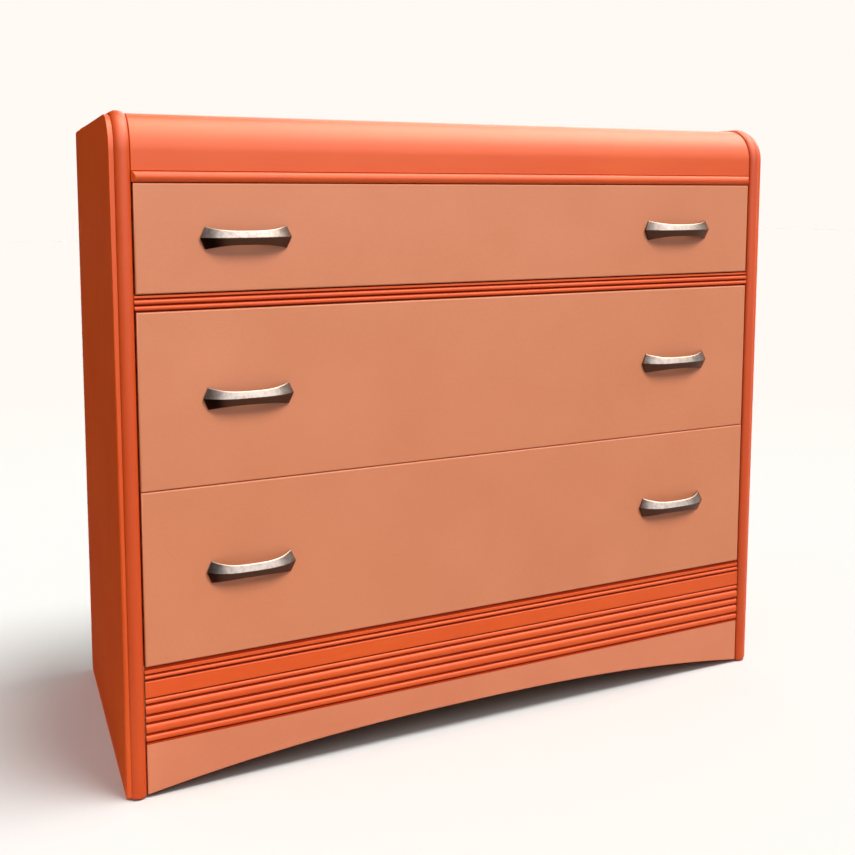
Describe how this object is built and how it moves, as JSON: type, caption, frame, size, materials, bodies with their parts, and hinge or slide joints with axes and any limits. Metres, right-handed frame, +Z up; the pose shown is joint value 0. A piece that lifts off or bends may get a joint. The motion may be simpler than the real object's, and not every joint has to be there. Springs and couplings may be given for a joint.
{
  "type": "waterfall chest of drawers",
  "caption": "Waterfall chest of drawers with a rolled top, half-round edge mouldings, full-width drawers on wooden runners, bowed metal pulls, a reeded plinth and an arched apron.",
  "frame": {"origin": "on the floor, under the middle of the overall box", "axes": "+X to the right seen from the front, +Y towards the back, drawers open towards -Y, +Z up"},
  "size_m": [0.915, 0.39, 0.8],
  "materials": {
    "orange_paint": "satin orange furniture paint, brushed and rolled on",
    "salmon_paint": "satin salmon furniture paint, rolled on",
    "frame_wood": "bare hardwood, planed",
    "drawer_wood": "sealed hardwood, planed",
    "plywood": "bare plywood sheet",
    "aged_bronze": "cast metal with an aged bronze finish, rubbed bright on the upper faces"
  },
  "bodies": {
    "case": {"side_panel_left": "orange_paint", "side_panel_right": "orange_paint", "edge_moulding_left": "orange_paint", "edge_moulding_right": "orange_paint", "waterfall_top": "orange_paint", "top_bead": "orange_paint", "divider_reeding": "orange_paint", "plinth_cap": "orange_paint", "plinth_band": "orange_paint", "plinth_reeding": "orange_paint", "arched_apron": "salmon_paint", "top_rail": "frame_wood", "divider_rail": "frame_wood", "middle_rail": "frame_wood", "bottom_rail": "frame_wood", "plinth_board": "frame_wood", "back_bottom_rail": "frame_wood", "back_top_rail": "frame_wood", "upper_runner_left": "frame_wood", "middle_runner_left": "frame_wood", "lower_runner_left": "frame_wood", "kicker_left": "frame_wood", "upper_stop_left": "frame_wood", "lower_stop_left": "frame_wood", "roll_block_left": "frame_wood", "apron_block_left": "frame_wood", "upper_runner_right": "frame_wood", "middle_runner_right": "frame_wood", "lower_runner_right": "frame_wood", "kicker_right": "frame_wood", "upper_stop_right": "frame_wood", "lower_stop_right": "frame_wood", "roll_block_right": "frame_wood", "apron_block_right": "frame_wood", "back_panel": "plywood"},
    "upper_drawer": {"upper_drawer_front": "salmon_paint", "upper_drawer_side_left": "drawer_wood", "upper_drawer_side_right": "drawer_wood", "upper_drawer_back": "drawer_wood", "upper_drawer_bottom": "plywood", "upper_pull_left": "aged_bronze", "upper_pull_right": "aged_bronze"},
    "middle_drawer": {"middle_drawer_front": "salmon_paint", "middle_drawer_side_left": "drawer_wood", "middle_drawer_side_right": "drawer_wood", "middle_drawer_back": "drawer_wood", "middle_drawer_bottom": "plywood", "middle_pull_left": "aged_bronze", "middle_pull_right": "aged_bronze"},
    "lower_drawer": {"lower_drawer_front": "salmon_paint", "lower_drawer_side_left": "drawer_wood", "lower_drawer_side_right": "drawer_wood", "lower_drawer_back": "drawer_wood", "lower_drawer_bottom": "plywood", "lower_pull_left": "aged_bronze", "lower_pull_right": "aged_bronze"}
  },
  "joints": [
    {"name": "upper_drawer_slide", "type": "slide", "parent": "case", "child": "upper_drawer", "axis": [0, -1, 0], "range_m": [0, 0.255]},
    {"name": "middle_drawer_slide", "type": "slide", "parent": "case", "child": "middle_drawer", "axis": [0, -1, 0], "range_m": [0, 0.255]},
    {"name": "lower_drawer_slide", "type": "slide", "parent": "case", "child": "lower_drawer", "axis": [0, -1, 0], "range_m": [0, 0.255]}
  ]
}
